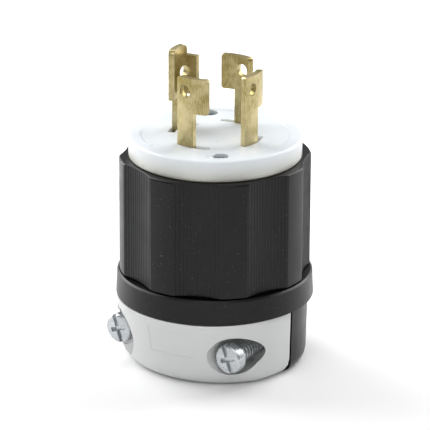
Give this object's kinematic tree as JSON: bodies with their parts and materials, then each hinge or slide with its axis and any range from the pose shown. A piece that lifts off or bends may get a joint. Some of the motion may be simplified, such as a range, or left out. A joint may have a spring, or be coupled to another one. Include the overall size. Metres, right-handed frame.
{
  "type": "locking power plug",
  "caption": "Round locking power plug with curved brass blades on a white face, a fluted black grip and a two-part cord clamp.",
  "frame": {"origin": "centre of the plug's foot, on the axis of the cord entry, at the underside of the cord clamp", "axes": "+Z along the plug's axis towards the blades' tips, -Y towards the heads of the clamp screws, the split of the cord clamp is the XZ plane"},
  "size_m": [0.0508, 0.0508, 0.0816],
  "materials": {
    "black_nylon": "satin",
    "white_nylon": "satin, slightly translucent",
    "grey_nylon": "satin",
    "brass": "brushed",
    "zinc_steel": "zinc plated",
    "green_steel": "green passivated",
    "brass_screw": "plain"
  },
  "bodies": {
    "root": {"fluted_shell": "black_nylon", "blade_face": "white_nylon", "blade_hot_x": "brass", "blade_neutral": "brass", "blade_hot_y": "brass", "blade_ground": "brass", "terminal_body": "white_nylon", "pressure_plate_hot_x": "brass", "pressure_plate_neutral": "brass", "pressure_plate_hot_y": "brass", "pressure_plate_ground": "brass", "terminal_screw_hot_x": "brass_screw", "terminal_screw_neutral": "zinc_steel", "terminal_screw_hot_y": "brass_screw", "terminal_screw_ground": "green_steel", "rear_housing": "black_nylon", "cord_clamp_cover": "grey_nylon", "clamp_screw_left": "zinc_steel", "clamp_screw_right": "zinc_steel", "assembly_screw_front": "zinc_steel", "assembly_screw_back": "zinc_steel"}
  },
  "joints": []
}
